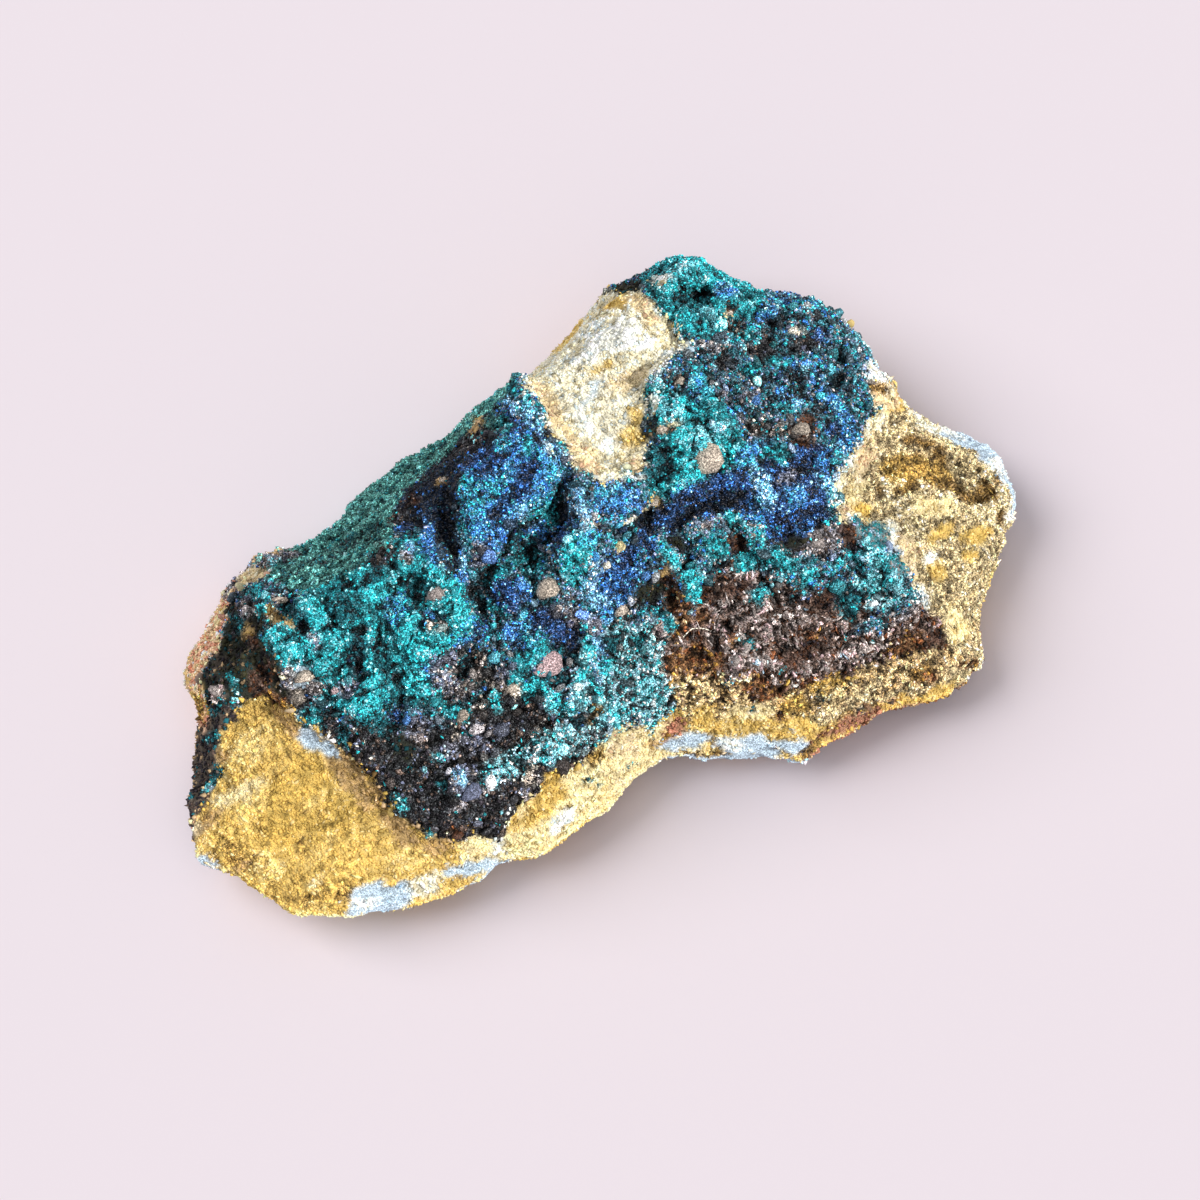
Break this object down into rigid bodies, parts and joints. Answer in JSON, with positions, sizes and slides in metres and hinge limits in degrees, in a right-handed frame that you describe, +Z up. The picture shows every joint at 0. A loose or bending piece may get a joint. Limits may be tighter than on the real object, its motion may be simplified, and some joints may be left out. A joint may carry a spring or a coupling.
{
  "type": "azurite malachite mineral specimen",
  "caption": "Hand specimen of blue azurite and green malachite crust grown on a broken slab of ochre sandstone, resting on its flat underside.",
  "frame": {"origin": "bottom centre of the bounding box, on the flat underside", "axes": "+X along the long side of the slab, +Y towards its thick mossy-green flank, +Z up through the crystal crust"},
  "size_m": [0.0838, 0.0486, 0.0215],
  "materials": {
    "stone_and_crust": "rough, granular, with glittering crystal crust"
  },
  "bodies": {
    "root": {"specimen": "stone_and_crust"}
  },
  "joints": []
}
